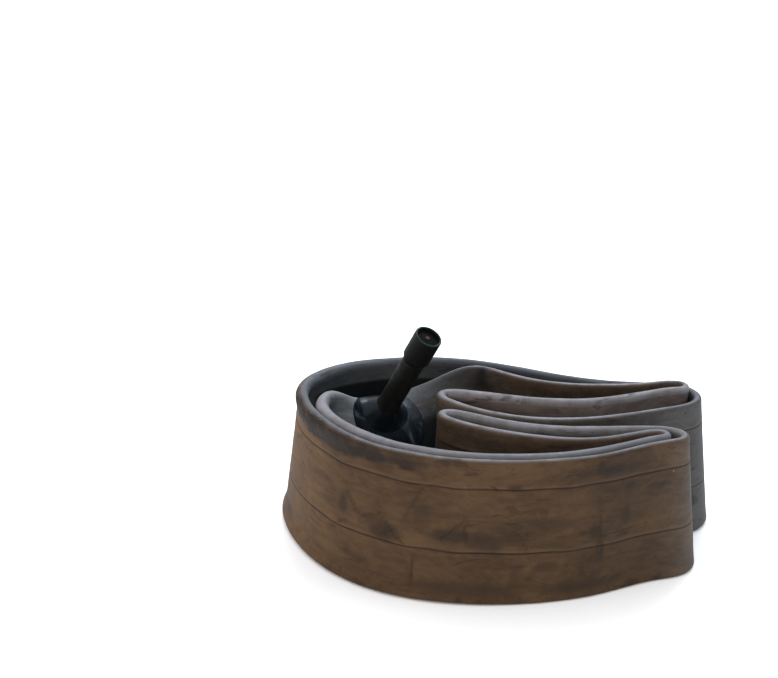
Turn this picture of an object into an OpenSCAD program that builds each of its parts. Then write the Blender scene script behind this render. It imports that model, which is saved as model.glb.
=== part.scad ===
// Bicycle inner tube with a rubber-covered 8V1 (car type) valve, laid flat, folded
// up small and set down on its edges. The tube is one endless band: a sleeve of thin
// rubber pressed flat, with a rounded fold along its top and bottom edges.
// Origin: middle of the footprint, on the surface that the tube stands on. +Z is up.

/* [Tube] */
// Width of the tube laid flat
flat_w = 50; // [49:0.5:51]
// Thickness of the rubber wall
wall_t = 0.95; // [0.6:0.05:1.2]
// Half thickness of the flattened tube between its edges
middle_half_t = 1.25; // [1.2:0.05:1.5]
// Radius of the rounded edges at the roomy left bend
edge_r_loose = 1.9; // [1.4:0.05:2]
// Radius of the rounded edges where the folds are packed tight
edge_r_tight = 1.35; // [1.25:0.05:1.6]
// Half thickness of the tube where the valve keeps it open
valve_half_t = 4.3; // [2:0.1:4.5]
// Length of tube, each side of the valve, over which it closes again
valve_bulge_len = 22; // [15:1:26]

/* [Valve position] */
// Middle of the valve's foot along X, in the route's frame
foot_x = -36.6; // [-37:0.1:-36]
// Middle of the valve's foot along Y, in the route's frame
foot_y = 18.7; // [18:0.1:19.5]
// Middle of the valve's foot, above the surface the tube stands on
foot_z = 40.5; // [40:0.1:41]
// Angle of the stem from upright
stem_tilt = 30; // [28:0.5:32]
// Way that the stem leans, from +X towards +Y
stem_heading = -43; // [-46:0.5:-40]

/* [Valve foot] */
// Thickness of the rubber patch under the stem
patch_t = 0.8; // [0.5:0.1:1.2]
// Radius of the patch's rounded ends
patch_r = 11; // [9:0.5:12]
// Distance between the middles of the patch's rounded ends
patch_stretch = 8; // [4:1:10]
// Radius of the flare where the stem meets the patch
foot_r = 5.6; // [5:0.1:7]
// Height of the flare
foot_h = 1.4; // [1:0.1:3]

/* [Stem] */
// Diameter of the rubber-covered stem, for an 8.5 mm rim hole
stem_d = 8.3; // [8:0.1:8.4]
// Height of the rubber cover above the foot
jacket_h = 25.5; // [24:0.5:32]
// Diameter of the brass insert inside the rubber
insert_d = 5.9; // [5.6:0.1:6.4]
// Diameter over the 8V1 thread
tip_thread_d = 7.7; // [7.6:0.05:7.75]
// Length of the threaded tip
tip_len = 9.6; // [9:0.1:10.5]
// Diameter of the air passage below the core
passage_d = 3; // [2.6:0.1:3.2]

/* [Core] */
// Diameter over the 5V1 thread
core_thread_d = 5.1; // [5:0.05:5.15]
// Length of the threaded plug
plug_len = 4.4; // [4:0.1:4.6]
// Length of the barrel
barrel_len = 6.2; // [5.8:0.1:6.4]
// Diameter of the barrel
barrel_d = 3.8; // [3.6:0.05:3.9]
// Diameter of the pin
pin_d = 1; // [0.9:0.05:1.1]
// Distance that the pin can be pressed in
pin_travel = 1.5; // [1:0.1:1.6]
// Thickness of the spring wire
spring_wire_d = 0.28; // [0.24:0.02:0.32]
// Number of turns of the spring
spring_turns = 5; // [4:1:6]

/* [Cap] */
// Diameter of the cap
cap_d = 10; // [9.8:0.1:10.6]
// Length of the cap
cap_len = 12.3; // [12:0.1:13]
// Thickness of the cap's roof at its rim
cap_roof_t = 1.4; // [1.2:0.1:1.6]
// Depth of the dished top
cap_dish = 0.6; // [0.4:0.1:0.7]
// Thickness of the rubber washer inside the cap
seal_t = 0.9; // [0.6:0.1:1]

/* [Hidden] */
eps = 0.01;
gap = 0.05;           // running clearance between parts that slide or turn

// Route of the tube's top edge, once round the loop, as control points of a smooth curve:
// x, y, lean and curl in degrees, and lift. Lean tips the top edge towards the right-hand
// side of the way along the route. Curl rolls the upper part over further still. Lift
// raises the bottom edge off the ground.
ROUTE = [
    // front layer, right to left
    [58, -21.9, 7, 0, 0], [52, -24.8, 6, 0, 0], [43, -30, 5, 0, 0], [30, -36.8, 5, 0, 0],
    [14, -40.8, 5, 0, 0], [-4, -42.2, 6, 0, 0], [-22, -40, 7, 0, 0],
    // round the left end
    [-38, -34, 8, 0, 0], [-51, -24, 8, 0, 0], [-61.2, -9.5, 7, 0, 0], [-67, 5, 6, 0, 0],
    [-68, 18, 6, 0, 0], [-62.5, 30, 7, 0, 0], [-51.5, 39.8, 7, 0, 0],
    // back layer, left to right
    [-35, 46, 7, 0, 0], [-15, 48, 7, 0, 0], [4, 44, 6, 0, 0], [20, 36.5, 6, 0, 0],
    [36, 30, 6, 0, 0], [52, 27.5, 6, 0, 0], [66, 28.8, 8, 0, 0],
    // outer fold at the back right
    [73, 27.8, 9, 0, 0], [77.2, 23, 9, 0, 0], [77.2, 16, 9, 0, 0], [72.5, 10, 9, 0, 0],
    // fourth layer, right to left
    [63, 5, 5, 0, 0], [52, 0, 1, 0, 0], [38, -5.4, 0, 0, 0], [24, -8.4, 0, 0, 0],
    [8, -7.4, 0, 0, 0], [-5, -1.8, 0, 0, 0],
    // upper hairpin on the left
    [-13, 3, 0, 0, 0.5], [-17.6, 6.6, 0, 0, 1], [-17.4, 10.4, 0, 0, 1.5], [-12, 10.8, 0, 0, 2],
    // third layer, left to right
    [0, 7.4, 0, 0, 2.2], [14, 3.8, 0, 0, 2.5], [28, 2.6, 0, 0, 2.5], [42, 5.8, 0, 0, 2.5],
    [56, 12.4, 0, 0, 2.5], [65, 17.2, 0, 0, 2.5],
    // inner fold at the back right
    [70.5, 17.6, 0, 0, 2.5], [73.2, 20.2, 0, 0, 2.5], [72.6, 23.6, 0, 0, 2.5],
    [67, 24.4, 0, 0, 2.5],
    // second layer, right to left, up to the peak
    [58, 20.8, 0, 0, 2.5], [46, 18.2, 0, 0, 2.5], [30, 17.4, 0, 0, 2.5], [16, 19.6, 0, 0, 3],
    [6, 25.5, 0, 0, 3.2], [-1, 32.5, 5, 0, 3],
    // the stretch that carries the valve, rolled back so that the stem points up
    [-10, 35.5, 8, 18, 2], [-20, 36, 8, 44, 1], [-29.5, 34, 6, 68, 0], [-38, 29.5, 4, 76, 0],
    [-45.5, 22.5, 4, 66, 0], [-51.5, 15, 4, 36, 0], [-56, 10.4, 2, 8, 0],
    // tight turn inside the left end
    [-58.6, 8.2, -2, 0, 0], [-59.8, 2.6, -5, 0, 0],
    // layer inside the front one, left to right
    [-58.4, -4, -6, 0, 0], [-53.8, -12.6, -7, 0, 0], [-45, -22.2, -8, 0, 0],
    [-33.6, -30.2, -8, 0, 0], [-20, -35.4, -7, 0, 0], [-4, -37.6, -6, 0, 0],
    [14, -36.6, -5, 0, 0], [28, -32.8, -5, 0, 0], [42, -26, -4, 0, 0], [50, -21.4, -4, 0, 0],
    // inner fold at the front right
    [54.5, -19.3, -3, 0, 0], [57.3, -18.5, -2, 0, 0], [58.5, -16.8, -1, 0, 0],
    [57.3, -15.1, 0, 0, 0], [54, -14.6, 1, 0, 0],
    // sixth layer, right to left
    [47, -17.6, 1, 0, 0], [36, -22.8, 0, 0, 0], [22, -24, 0, 0, 0], [6, -21, 0, 0, 0],
    [-6, -16, 0, 0, 0],
    // lower hairpin on the left
    [-14, -11, 0, 0, 0], [-18, -7, 0, 0, 0], [-17.4, -3.4, 0, 0, 0], [-12, -3, 0, 0, 0],
    // fifth layer, left to right
    [-2, -8.6, 0, 0, 0], [12, -14, 0, 0, 0], [28, -14.8, 0, 0, 0], [44, -12.8, 2, 0, 0],
    [55, -11, 5, 0, 0],
    // outer fold at the front right
    [61.8, -11.4, 9, 0, 0], [65.2, -14.8, 9, 0, 0], [63.8, -19.4, 8, 0, 0],
];
steps = 2;            // stations along each span of the route
spine_n = 5;          // straight pieces across the width of a section
valve_span = [52, 58];   // route spans that pass under the valve

home = [-5.87, -3.07, 0];   // from the route's own origin to the middle of the footprint
foot = [foot_x, foot_y, foot_z];
tip_pitch = 0.794;   // 8V1 thread, 32 turns to the inch
core_pitch = 0.706;  // 5V1 thread, 36 turns to the inch
stem_r = stem_d / 2;
insert_r = insert_d / 2;
tip_r = tip_thread_d / 2;
tip_root_r = tip_r - 0.45;
tip_top = jacket_h + tip_len;
passage_r = passage_d / 2;
core_r = core_thread_d / 2;
core_root_r = core_r - 0.3;
core_bore_r = core_r + gap;
plug_top = tip_top - 0.5;
plug_bottom = plug_top - plug_len;
barrel_r = barrel_d / 2;
barrel_bottom = plug_bottom - barrel_len;
barrel_room_r = barrel_r - 0.45;
pin_r = pin_d / 2;
pin_hole_r = pin_r + 0.08;
pin_top = tip_top - 0.1;
pin_head_r = 0.95;
collar_top = plug_bottom - 0.6;
collar_t = 0.6;
spring_r = 1.05;
spring_bottom = barrel_bottom + 0.9;
spring_top = collar_top - collar_t;
cup_top = barrel_bottom - 0.25;
cup_len = 1.5;
seat_z = plug_bottom - 2;
cap_r = cap_d / 2;
cap_bore_r = tip_r + 0.08;
cap_bottom = jacket_h + 0.2;
cap_top = cap_bottom + cap_len;
seal_bore_r = core_r + 0.2;
seal_top = cap_top - cap_dish - cap_roof_t + 0.2;

// ---- the route as a closed cubic B-spline ----
function wrap(i) = (i % len(ROUTE) + len(ROUTE)) % len(ROUTE);
function blend3(a, b, c, d, t) =
    (pow(1 - t, 3) * a + (3 * t * t * t - 6 * t * t + 4) * b
     + (-3 * t * t * t + 3 * t * t + 3 * t + 1) * c + t * t * t * d) / 6;
function slope3(a, b, c, d, t) =
    (-3 * pow(1 - t, 2) * a + (9 * t * t - 12 * t) * b
     + (-9 * t * t + 6 * t + 3) * c + 3 * t * t * d) / 6;
function control(s, k) = ROUTE[wrap(floor(s) + k)];
function at(s) = let (t = s - floor(s))
    blend3(control(s, -1), control(s, 0), control(s, 1), control(s, 2), t);
function travel(s) = let (t = s - floor(s),
    v = slope3(control(s, -1), control(s, 0), control(s, 1), control(s, 2), t))
    [v.x, v.y] / norm([v.x, v.y]);

// ---- thickness of the tube along the route ----
function clamp01(v) = min(1, max(0, v));
function ease(v) = let (c = clamp01(v)) c * c * (3 - 2 * c);
function edge_r(x) = edge_r_loose + (edge_r_tight - edge_r_loose) * clamp01((x + 30) / 60);
function near_valve(p) =
    p[3] > 0.5 ? ease(1 - norm([p.x - foot_x + 1.5, p.y - foot_y - 9]) / valve_bulge_len) : 0;
function half_t(u, bulge) = middle_half_t
    + (valve_half_t - middle_half_t) * bulge * sqrt(max(0, 1 - pow(2 * u - 1, 2) * 0.96));

// ---- one cross-section: a spine across the width, then the outline round it ----
function roll(p, u) = p[2] + p[3] * u * u;
function spine(p, len) = let (d = len / (spine_n * 4))
    [for (i = 0, q = [0, 0]; i <= spine_n * 4; q = q + d * [sin(roll(p, (i + 0.5) / spine_n / 4)),
        cos(roll(p, (i + 0.5) / spine_n / 4))], i = i + 1) if (i % 4 == 0) q];
// grow is added all round; a negative grow gives the air space inside the wall
function outline(p, grow, corners) = let (
    r = edge_r(p.x), sp = spine(p, flat_w - 2 * r), top = sp[spine_n],
    bulge = near_valve(p), rr = r + grow,
    ts = [for (k = [0:spine_n]) let (u = k / spine_n)
        (k == 0 || k == spine_n) ? max(rr, half_t(u, bulge) + grow) : half_t(u, bulge) + grow],
    place = function(q, a, w, t) q + w * [sin(a), cos(a)] + t * [cos(a), -sin(a)],
    a0 = roll(p, 0), a1 = roll(p, 1), c = 0.72,
    right = [for (k = [0:spine_n]) place(sp[k], roll(p, k / spine_n), 0, ts[k])],
    left = [for (k = [spine_n:-1:0]) place(sp[k], roll(p, k / spine_n), 0, -ts[k])],
    foot_end = corners
        ? [place(sp[0], a0, -c * rr, -c * rr), place(sp[0], a0, -rr, 0),
           place(sp[0], a0, -c * rr, c * rr)]
        : [place(sp[0], a0, -rr, 0)],
    top_end = corners
        ? [place(top, a1, c * rr, c * rr), place(top, a1, rr, 0),
           place(top, a1, c * rr, -c * rr)]
        : [place(top, a1, rr, 0)],
    lift = p[4] + r)
    [for (q = concat(right, top_end, left, foot_end)) [q.x - top.x, q.y + lift]];
function ring(s, grow, corners) = let (p = at(s), v = travel(s))
    [for (q = outline(p, grow, corners)) [p.x + q.x * v.y, p.y - q.x * v.x, q.y]];

// A stretch of the tube from one place on the route to another, closed at its ends,
// or the whole loop, joined up
module band(from, to, grow, corners = true, loop = false) {
    n = round((to - from) * steps);
    rings = [for (i = [0:(loop ? n - 1 : n)]) ring(from + i / steps, grow, corners)];
    m = len(rings[0]);
    count = len(rings);
    sides = [for (i = [0:(loop ? count - 1 : count - 2)]) let (j = (i + 1) % count)
        for (k = [0:m - 1]) let (l = (k + 1) % m)
            each [[i * m + k, i * m + l, j * m + l], [i * m + k, j * m + l, j * m + k]]];
    last = (count - 1) * m;
    top = spine_n + 2;
    ends = loop ? [] : [for (k = [0:m / 2 - 1]) let (
        a = (top - k + m) % m, b = (top + k) % m, c = (top + k + 1) % m, d = (top - k - 1 + m) % m)
        each [[a, c, b], [a, d, c], [last + a, last + b, last + c], [last + a, last + c, last + d]]];
    closing = [for (f = ends) if (f[0] != f[1] && f[1] != f[2] && f[0] != f[2]) f];
    translate(home) polyhedron([for (r = rings) each r], concat(sides, closing));
}

// ---- shared shapes ----
// Puts the valve's own +Z along the stem, with its origin at the middle of the foot
module on_stem() {
    translate(home + foot) rotate([0, stem_tilt, stem_heading]) children();
}

module post(r, z0, z1) {
    translate([0, 0, z0]) cylinder(r = r, h = z1 - z0, $fn = 64);
}

module cone(r0, r1, z0, z1) {
    translate([0, 0, z0]) cylinder(r1 = r0, r2 = r1, h = z1 - z0, $fn = 64);
}

module tube_between(r_out, r_in, z0, z1) {
    difference() {
        post(r_out, z0, z1);
        post(r_in, z0 - 1, z1 + 1);
    }
}

// Profile of a thread drawn as rings, from its root radius to its crest radius
function thread_line(root, crest, z0, pitch, turns) =
    [for (i = [0:turns - 1]) each [[root, z0 + i * pitch], [crest, z0 + (i + 0.4) * pitch],
                                  [crest, z0 + (i + 0.6) * pitch]]];

// ---- the tube ----
module inner_tube() {
    color("#5b5048")
    difference() {
        band(0, len(ROUTE), 0, true, true);
        band(0, len(ROUTE), -wall_t, false, true);
        on_stem() post(passage_r, -4, 3);
    }
}

// ---- the valve, in order from the tube outwards ----
module patch_column() {
    on_stem() hull() {
        for (e = [-0.5, 0.5])
            rotate([0, 0, 90]) translate([e * patch_stretch, 0, -8])
                cylinder(r = patch_r, h = 14, $fn = 32);
    }
}

module valve_patch() {
    color("#16191c")
    difference() {
        intersection() {
            band(valve_span[0], valve_span[1], patch_t);
            patch_column();
            on_stem() translate([-20, -20, -8]) cube([40, 40, 14]);
        }
        band(valve_span[0], valve_span[1], 0);
        on_stem() post(passage_r, -8, 8);
    }
}

module stem_rubber() {
    color("#151716")
    difference() {
        on_stem() difference() {
            union() {
                post(stem_r, -4, jacket_h);
                cone(foot_r, stem_r, -0.6, foot_h);
                post(foot_r, -3, -0.6);
            }
            post(insert_r, foot_h + 3, jacket_h + 1);
            post(passage_r, -8, foot_h + 3 + eps);
        }
        band(valve_span[0], valve_span[1], patch_t);
    }
}

module stem_insert() {
    turns = floor((tip_len - 1) / tip_pitch);
    z0 = jacket_h + 0.4;
    color("#b08d4a")
    on_stem() difference() {
        union() {
            post(insert_r, foot_h + 3, jacket_h + 0.2);
            rotate_extrude($fn = 64)
                polygon(concat([[0, jacket_h], [tip_root_r, jacket_h]],
                    thread_line(tip_root_r, tip_r, z0, tip_pitch, turns),
                    [[tip_root_r, z0 + turns * tip_pitch], [tip_root_r - 0.3, tip_top],
                     [0, tip_top]]));
        }
        post(core_bore_r, seat_z + 1.2, tip_top + 1);
        cone(barrel_r + 0.12, core_bore_r, seat_z - 0.8, seat_z + 1.2 + eps);
        post(barrel_r + 0.12, foot_h + 8, seat_z - 0.8 + eps);
        post(passage_r, foot_h, foot_h + 8 + eps);
    }
}

module core_plug() {
    turns = floor((plug_len - 0.9) / core_pitch);
    color("#c9a95c")
    on_stem() difference() {
        rotate_extrude($fn = 64)
            polygon(concat([[pin_head_r + 0.15, plug_bottom], [core_root_r, plug_bottom]],
                thread_line(core_root_r, core_r, plug_bottom + 0.2, core_pitch, turns),
                [[core_root_r, plug_bottom + 0.2 + turns * core_pitch],
                 [core_root_r - 0.2, plug_top], [pin_head_r + 0.15, plug_top]]));
        for (side = [-1, 1])
            translate([side * (core_root_r + 0.35) - 0.75, -3, plug_top - 1.4])
                cube([1.5, 6, 3]);
    }
}

module core_barrel() {
    color("#c9a95c")
    on_stem() difference() {
        post(barrel_r, barrel_bottom, plug_bottom - 0.05);
        post(barrel_room_r, barrel_bottom + 0.9, plug_bottom + 1);
        post(pin_hole_r + 0.2, barrel_bottom - 1, plug_bottom);
        difference() {
            post(barrel_r + 1, seat_z - 1, seat_z + 1);
            post(barrel_r - 0.2, seat_z - 2, seat_z + 2);
        }
    }
}

module barrel_gasket() {
    color("#b5372b")
    on_stem() difference() {
        cone(barrel_r - 0.05, barrel_r + 0.35, seat_z - 1 + gap, seat_z + 1 - gap);
        post(barrel_r - 0.2, seat_z - 2, seat_z + 2);
    }
}

module core_pin() {
    color("#d8d4c8")
    on_stem() union() {
        post(pin_r, cup_top - cup_len - 0.8, pin_top - 0.4);
        post(pin_head_r, pin_top - 0.8, pin_top);
        post(pin_r + 0.35, cup_top - cup_len - 0.9, cup_top - cup_len);
    }
}

module pin_collar() {
    color("#c9a95c")
    on_stem() tube_between(barrel_room_r - 0.08, pin_r, collar_top - collar_t, collar_top);
}

module core_cup() {
    color("#c9a95c")
    on_stem() difference() {
        post(barrel_r - 0.1, cup_top - cup_len, cup_top);
        post(barrel_r - 0.45, cup_top - 0.8, cup_top + 1);
        post(pin_r, cup_top - cup_len - 1, cup_top);
    }
}

module cup_seal() {
    color("#1c1c1c")
    on_stem() tube_between(barrel_r - 0.45, pin_r, cup_top - 0.8, barrel_bottom - 0.02);
}

module core_spring() {
    rise = spring_top - spring_bottom - spring_wire_d - 0.1;
    per_turn = 12;
    n = spring_turns * per_turn;
    wire = spring_wire_d / 2;
    pts = [for (i = [0:n]) let (a = i * 360 / per_turn)
        for (k = [0:5]) let (r = spring_r + wire * cos(60 * k))
            [r * cos(a), r * sin(a),
             spring_bottom + wire + 0.05 + rise * i / n + wire * sin(60 * k)]];
    sides = [for (i = [0:n - 1], k = [0:5]) let (l = (k + 1) % 6)
        each [[i * 6 + k, i * 6 + l, i * 6 + 6 + l], [i * 6 + k, i * 6 + 6 + l, i * 6 + 6 + k]]];
    ends = [for (k = [1:4]) each [[0, k + 1, k], [n * 6, n * 6 + k, n * 6 + k + 1]]];
    color("#b9bdc2")
    on_stem() polyhedron(pts, concat(sides, ends));
}

module cap() {
    turns = floor((tip_len - 1.4) / tip_pitch);
    z0 = cap_bottom + 0.8;
    color("#101210")
    on_stem() difference() {
        rotate_extrude($fn = 64)
            polygon([[0, cap_bottom], [stem_r, cap_bottom], [cap_r, cap_bottom + 1.6],
                     [cap_r, cap_top - 0.5], [cap_r - 0.15, cap_top - 0.15],
                     [cap_r - 0.5, cap_top], [cap_r - 0.9, cap_top],
                     [cap_r - 1.3, cap_top - cap_dish], [0.7, cap_top - cap_dish],
                     [0.5, cap_top - cap_dish + 0.35], [0, cap_top - cap_dish + 0.4]]);
        rotate_extrude($fn = 64)
            polygon(concat([[0, cap_bottom - 1], [cap_bore_r, cap_bottom - 1]],
                thread_line(cap_bore_r, cap_bore_r + 0.35, z0, tip_pitch, turns),
                [[cap_bore_r, seal_top], [0, seal_top]]));
    }
}

module cap_seal() {
    color("#2a2a2a")
    on_stem() tube_between(cap_bore_r - 0.1, seal_bore_r, seal_top - seal_t - gap, seal_top - gap);
}

inner_tube();
valve_patch();
stem_rubber();
stem_insert();
core_plug();
core_barrel();
barrel_gasket();
core_pin();
pin_collar();
core_cup();
cup_seal();
core_spring();
cap();
cap_seal();
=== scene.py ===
"""Looks for the folded bicycle inner tube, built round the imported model.

The tube's skin is swept along the same route as its CAD solid, with many more stations,
so that its rounded edges, moulded lines and creases are real geometry. Lengths in the
route and in names ending in _MM are millimetres. Blender objects are in metres.
"""

import math

import bmesh
import bpy
import numpy as np
from mathutils import Matrix, Vector, bvhtree, noise


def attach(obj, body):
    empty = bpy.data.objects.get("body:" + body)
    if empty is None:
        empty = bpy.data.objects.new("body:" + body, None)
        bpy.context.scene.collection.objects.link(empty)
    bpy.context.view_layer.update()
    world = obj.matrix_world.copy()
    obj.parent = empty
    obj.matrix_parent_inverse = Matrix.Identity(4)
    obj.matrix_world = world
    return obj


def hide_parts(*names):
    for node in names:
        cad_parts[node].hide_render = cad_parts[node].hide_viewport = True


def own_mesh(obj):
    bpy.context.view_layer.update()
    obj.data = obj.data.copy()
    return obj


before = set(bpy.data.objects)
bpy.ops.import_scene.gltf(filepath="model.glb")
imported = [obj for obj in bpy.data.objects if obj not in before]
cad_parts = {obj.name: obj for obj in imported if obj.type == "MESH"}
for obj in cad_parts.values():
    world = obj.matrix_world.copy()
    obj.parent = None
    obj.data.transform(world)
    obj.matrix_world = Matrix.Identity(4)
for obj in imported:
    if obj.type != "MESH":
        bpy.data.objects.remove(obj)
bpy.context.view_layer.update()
MM = 0.001

# ---- the CAD model's own dimensions, repeated from part.scad ----
FLAT_W_MM = 50.0  # width of the tube laid flat
MIDDLE_HALF_T_MM = 1.25  # half the thickness of the two faces pressed together
EDGE_R_LOOSE_MM = 1.9  # radius of the rounded edges on the left, where the folds are loose
EDGE_R_TIGHT_MM = 1.35  # and on the right
VALVE_HALF_T_MM = 4.3  # half the thickness where the valve holds the tube open
VALVE_BULGE_MM = 22.0  # how far from the valve that reaches
HOME_MM = (-5.87, -3.07)  # puts the middle of the footprint at the origin
FOOT_MM = (-36.6, 18.7, 40.5)  # foot of the stem, in the route's own coordinates
STEM_TILT = math.radians(30)
STEM_HEADING = math.radians(-43)
STEM_R_MM = 4.15
# places along the stem's axis, from its foot
JACKET_TOP_MM = 25.5
TIP_TOP_MM = 35.1
CAP_BOTTOM_MM = 25.7
CAP_TOP_MM = 38.0

# ---- the skin's own shape, which the CAD model doesn't have ----
VALVE_SAG = 0.045  # share of its height by which the back edge beside the valve sags
SAG_REACH_MM = (30, 14)  # the sag starts this far from its middle, and is full this near to it
LEFT_PUFF_MM = 0.45  # how much fuller the rounded edges are at the left bend
EDGE_FADE_MM = 3.2  # over which the rounded edges thin down to the middle
WAVE_MM = 0.15  # soft unevenness of the rubber
LINE_DEPTH_MM, LINE_WIDTH_MM, LINE_DRIFT_MM = 0.15, 0.30, 0.45  # the moulded lines
LIP_HEIGHT_MM, LIP_WIDTH_MM, LIP_ABOVE_MM = 0.07, 0.45, 0.75  # raised lip above each of them
CREASE_WIDTH_MM = 0.42
FOLD_SHARE, FOLD_WIDTH_MM, FOLD_AWAY_MM = 0.7, 0.8, 1.3  # raised folds on both sides of a crease
PATCH_SWELL_MM = 6.6  # height of the patch's dome round the stem
PATCH_SWELL_R_MM = 6.8

# Route of the tube's top edge: x, y, lean and curl in degrees, and lift
ROUTE = [
    # front layer, right to left
    [58, -21.9, 7, 0, 0], [52, -24.8, 6, 0, 0], [43, -30, 5, 0, 0], [30, -36.8, 5, 0, 0],
    [14, -40.8, 5, 0, 0], [-4, -42.2, 6, 0, 0], [-22, -40, 7, 0, 0],
    # round the left end
    [-38, -34, 8, 0, 0], [-51, -24, 8, 0, 0], [-61.2, -9.5, 7, 0, 0], [-67, 5, 6, 0, 0],
    [-68, 18, 6, 0, 0], [-62.5, 30, 7, 0, 0], [-51.5, 39.8, 7, 0, 0],
    # back layer, left to right
    [-35, 46, 7, 0, 0], [-15, 48, 7, 0, 0], [4, 44, 6, 0, 0], [20, 36.5, 6, 0, 0],
    [36, 30, 6, 0, 0], [52, 27.5, 6, 0, 0], [66, 28.8, 8, 0, 0],
    # outer fold at the back right
    [73, 27.8, 9, 0, 0], [77.2, 23, 9, 0, 0], [77.2, 16, 9, 0, 0], [72.5, 10, 9, 0, 0],
    # fourth layer, right to left
    [63, 5, 5, 0, 0], [52, 0, 1, 0, 0], [38, -5.4, 0, 0, 0], [24, -8.4, 0, 0, 0],
    [8, -7.4, 0, 0, 0], [-5, -1.8, 0, 0, 0],
    # upper hairpin on the left
    [-13, 3, 0, 0, 0.5], [-17.6, 6.6, 0, 0, 1], [-17.4, 10.4, 0, 0, 1.5], [-12, 10.8, 0, 0, 2],
    # third layer, left to right
    [0, 7.4, 0, 0, 2.2], [14, 3.8, 0, 0, 2.5], [28, 2.6, 0, 0, 2.5], [42, 5.8, 0, 0, 2.5],
    [56, 12.4, 0, 0, 2.5], [65, 17.2, 0, 0, 2.5],
    # inner fold at the back right
    [70.5, 17.6, 0, 0, 2.5], [73.2, 20.2, 0, 0, 2.5], [72.6, 23.6, 0, 0, 2.5],
    [67, 24.4, 0, 0, 2.5],
    # second layer, right to left, up to the peak
    [58, 20.8, 0, 0, 2.5], [46, 18.2, 0, 0, 2.5], [30, 17.4, 0, 0, 2.5], [16, 19.6, 0, 0, 3],
    [6, 25.5, 0, 0, 3.2], [-1, 32.5, 5, 0, 3],
    # the stretch that carries the valve, rolled back so that the stem points up
    [-10, 35.5, 8, 18, 2], [-20, 36, 8, 44, 1], [-29.5, 34, 6, 68, 0], [-38, 29.5, 4, 76, 0],
    [-45.5, 22.5, 4, 66, 0], [-51.5, 15, 4, 36, 0], [-56, 10.4, 2, 8, 0],
    # tight turn inside the left end
    [-58.6, 8.2, -2, 0, 0], [-59.8, 2.6, -5, 0, 0],
    # layer inside the front one, left to right
    [-58.4, -4, -6, 0, 0], [-53.8, -12.6, -7, 0, 0], [-45, -22.2, -8, 0, 0],
    [-33.6, -30.2, -8, 0, 0], [-20, -35.4, -7, 0, 0], [-4, -37.6, -6, 0, 0],
    [14, -36.6, -5, 0, 0], [28, -32.8, -5, 0, 0], [42, -26, -4, 0, 0], [50, -21.4, -4, 0, 0],
    # inner fold at the front right
    [54.5, -19.3, -3, 0, 0], [57.3, -18.5, -2, 0, 0], [58.5, -16.8, -1, 0, 0],
    [57.3, -15.1, 0, 0, 0], [54, -14.6, 1, 0, 0],
    # sixth layer, right to left
    [47, -17.6, 1, 0, 0], [36, -22.8, 0, 0, 0], [22, -24, 0, 0, 0], [6, -21, 0, 0, 0],
    [-6, -16, 0, 0, 0],
    # lower hairpin on the left
    [-14, -11, 0, 0, 0], [-18, -7, 0, 0, 0], [-17.4, -3.4, 0, 0, 0], [-12, -3, 0, 0, 0],
    # fifth layer, left to right
    [-2, -8.6, 0, 0, 0], [12, -14, 0, 0, 0], [28, -14.8, 0, 0, 0], [44, -12.8, 2, 0, 0],
    [55, -11, 5, 0, 0],
    # outer fold at the front right
    [61.8, -11.4, 9, 0, 0], [65.2, -14.8, 9, 0, 0], [63.8, -19.4, 8, 0, 0],
]
AXIS = Vector((math.sin(STEM_TILT) * math.cos(STEM_HEADING),
               math.sin(STEM_TILT) * math.sin(STEM_HEADING), math.cos(STEM_TILT)))
FOOT = Vector((FOOT_MM[0] + HOME_MM[0], FOOT_MM[1] + HOME_MM[1], FOOT_MM[2])) * MM
STEM = Matrix.Translation(FOOT) @ Matrix.Rotation(STEM_HEADING, 4, "Z") @ Matrix.Rotation(STEM_TILT, 4, "Y")


# ---------------------------------------------------------------- camera
SENSOR_MM = 36
FOCAL_LENGTH = 1150 / 778  # as a share of the picture's width
CAMERA_PLACE_MM = (-42.4, -373.1, 211)
LOOKS_DOWN_DEG = 20.3
ROLL_DEG = 1.8


def make_camera():
    """The photograph's viewpoint: from the front, a little to the left, looking down on the tube."""
    data = bpy.data.cameras.new("camera")
    data.sensor_width = SENSOR_MM
    data.lens = FOCAL_LENGTH * SENSOR_MM
    data.clip_start, data.clip_end = 0.01, 20
    cam = bpy.data.objects.new("camera", data)
    bpy.context.scene.collection.objects.link(cam)
    cam.matrix_world = (Matrix.Translation(Vector(CAMERA_PLACE_MM) * MM)
                        @ Matrix.Rotation(math.radians(90 - LOOKS_DOWN_DEG), 4, "X")
                        @ Matrix.Rotation(math.radians(ROLL_DEG), 4, "Z"))
    bpy.context.scene.camera = cam


# ---------------------------------------------------------------- mesh helpers
def add_mesh(name, verts, faces, material):
    mesh = bpy.data.meshes.new(name)
    mesh.from_pydata([tuple(map(float, v)) for v in verts], [], faces)
    mesh.validate()
    mesh.update()
    obj = bpy.data.objects.new(name, mesh)
    bpy.context.scene.collection.objects.link(obj)
    mesh.shade_smooth()
    mesh.materials.append(material)
    return obj


def weld(obj, distance=1e-6):
    """Joins points that fall together, and turns all faces outwards."""
    bm = bmesh.new()
    bm.from_mesh(obj.data)
    bmesh.ops.remove_doubles(bm, verts=bm.verts, dist=distance)
    bmesh.ops.dissolve_degenerate(bm, edges=bm.edges, dist=distance)
    bmesh.ops.recalc_face_normals(bm, faces=bm.faces)
    bm.to_mesh(obj.data)
    bm.free()


def grid_faces(rows, cols, close_rows=False):
    """Quads of a grid of points numbered row by row. Each row is a closed ring."""
    faces = []
    for i in range(rows if close_rows else rows - 1):
        j = (i + 1) % rows
        for k in range(cols):
            n = (k + 1) % cols
            faces.append((i * cols + k, i * cols + n, j * cols + n, j * cols + k))
    return faces


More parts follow.
